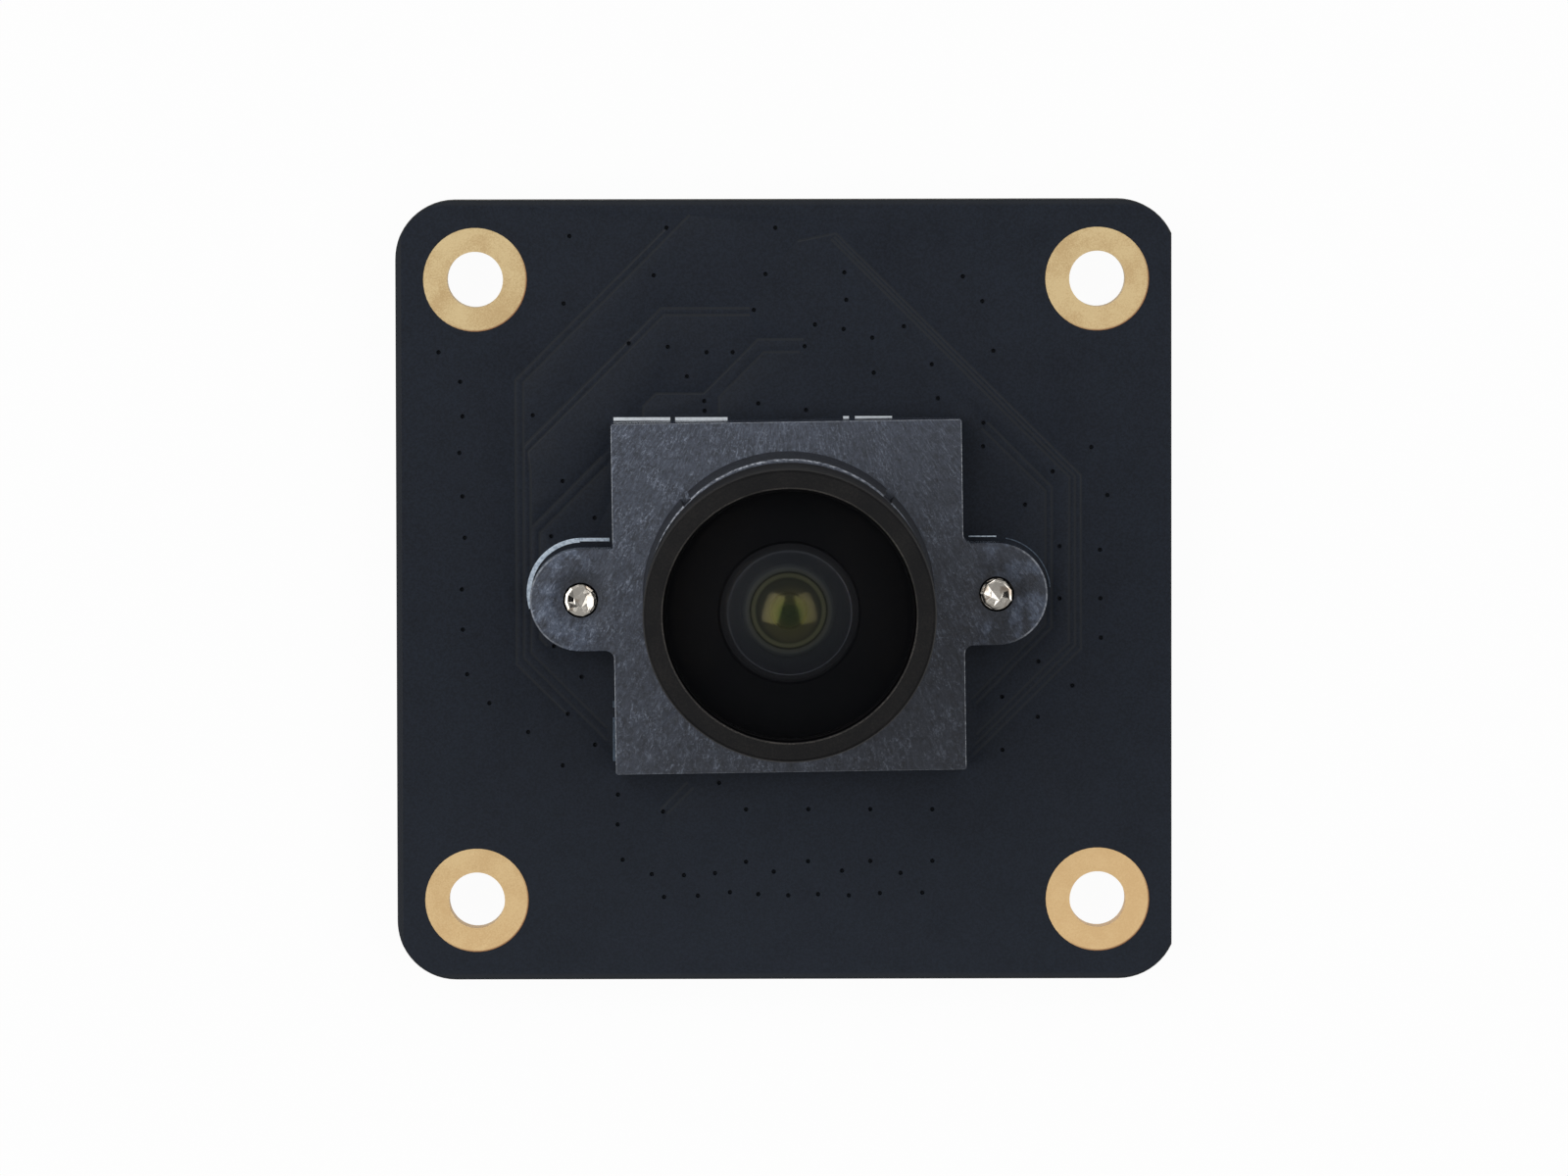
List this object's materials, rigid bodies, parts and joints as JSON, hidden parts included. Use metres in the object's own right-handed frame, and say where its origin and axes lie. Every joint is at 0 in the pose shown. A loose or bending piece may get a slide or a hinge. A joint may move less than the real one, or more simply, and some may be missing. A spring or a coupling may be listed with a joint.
{
  "type": "camera module",
  "caption": "Square circuit board with plated corner holes, a screwed-on lens holder, a wide-angle screw-in lens and a ribbon connector on the rear.",
  "frame": {"origin": "centre of the four mounting holes, on the board's rear face", "axes": "+Z the way the lens looks, -Y towards the board edge with the ribbon connector, +X to the right as seen from the lens side with the connector edge down"},
  "size_m": [0.0375, 0.0378, 0.0235],
  "materials": {
    "board_mask": "satin dark solder mask",
    "ring_copper": "gold plated copper",
    "holder_plastic": "glass filled nylon",
    "barrel_black": "black anodised",
    "lens_glass": "coated optical glass",
    "spacer_black": "matt black anodised",
    "filter_glass": "infrared filter coating",
    "cover_glass": "clear cover glass",
    "package_resin": "moulded package",
    "sensor_silicon": "polished silicon with a pixel field",
    "screw_steel": "nickel plated steel",
    "housing_nylon": "natural high temperature nylon",
    "latch_nylon": "dark nylon",
    "contact_gold": "gold flashed contacts",
    "solder_tin": "tinned metal",
    "oscillator_ceramic": "fired ceramic",
    "oscillator_lid": "seam welded lid",
    "chip_epoxy": "black moulding compound",
    "capacitor_ceramic": "fired capacitor ceramic",
    "resistor_glaze": "black glaze"
  },
  "bodies": {
    "module": {"board": "board_mask", "mount_ring_top_left": "ring_copper", "mount_ring_top_right": "ring_copper", "mount_ring_bottom_left": "ring_copper", "mount_ring_bottom_right": "ring_copper", "sensor_package": "package_resin", "sensor_die": "sensor_silicon", "sensor_cover_glass": "cover_glass", "lens_holder": "holder_plastic", "infrared_filter": "filter_glass", "holder_screws": "screw_steel", "ribbon_connector_housing": "housing_nylon", "ribbon_connector_contacts": "contact_gold", "ribbon_connector_anchors": "solder_tin", "oscillator_base": "oscillator_ceramic", "oscillator_lid": "oscillator_lid", "regulators": "chip_epoxy", "regulator_leads": "solder_tin", "small_capacitors": "capacitor_ceramic", "small_capacitor_ends": "solder_tin", "large_capacitors": "capacitor_ceramic", "large_capacitor_ends": "solder_tin", "resistors": "resistor_glaze", "resistor_ends": "solder_tin"},
    "lens": {"lens_barrel": "barrel_black", "front_lens": "lens_glass", "second_lens": "lens_glass", "front_spacer": "spacer_black", "third_lens": "lens_glass", "aperture_stop": "spacer_black", "fourth_lens": "lens_glass", "rear_spacer": "spacer_black", "rear_lens": "lens_glass", "retaining_ring": "spacer_black"},
    "latch": {"ribbon_connector_latch": "latch_nylon"}
  },
  "joints": [
    {"name": "lens_focus", "type": "hinge", "parent": "module", "child": "lens", "pos_m": [0.00009, -0.00022, 0.0052], "axis": [0, 0, 1], "range_deg": [-180, 180]},
    {"name": "latch_slide", "type": "slide", "parent": "module", "child": "latch", "axis": [0, -1, 0], "range_m": [0, 0.001]}
  ]
}
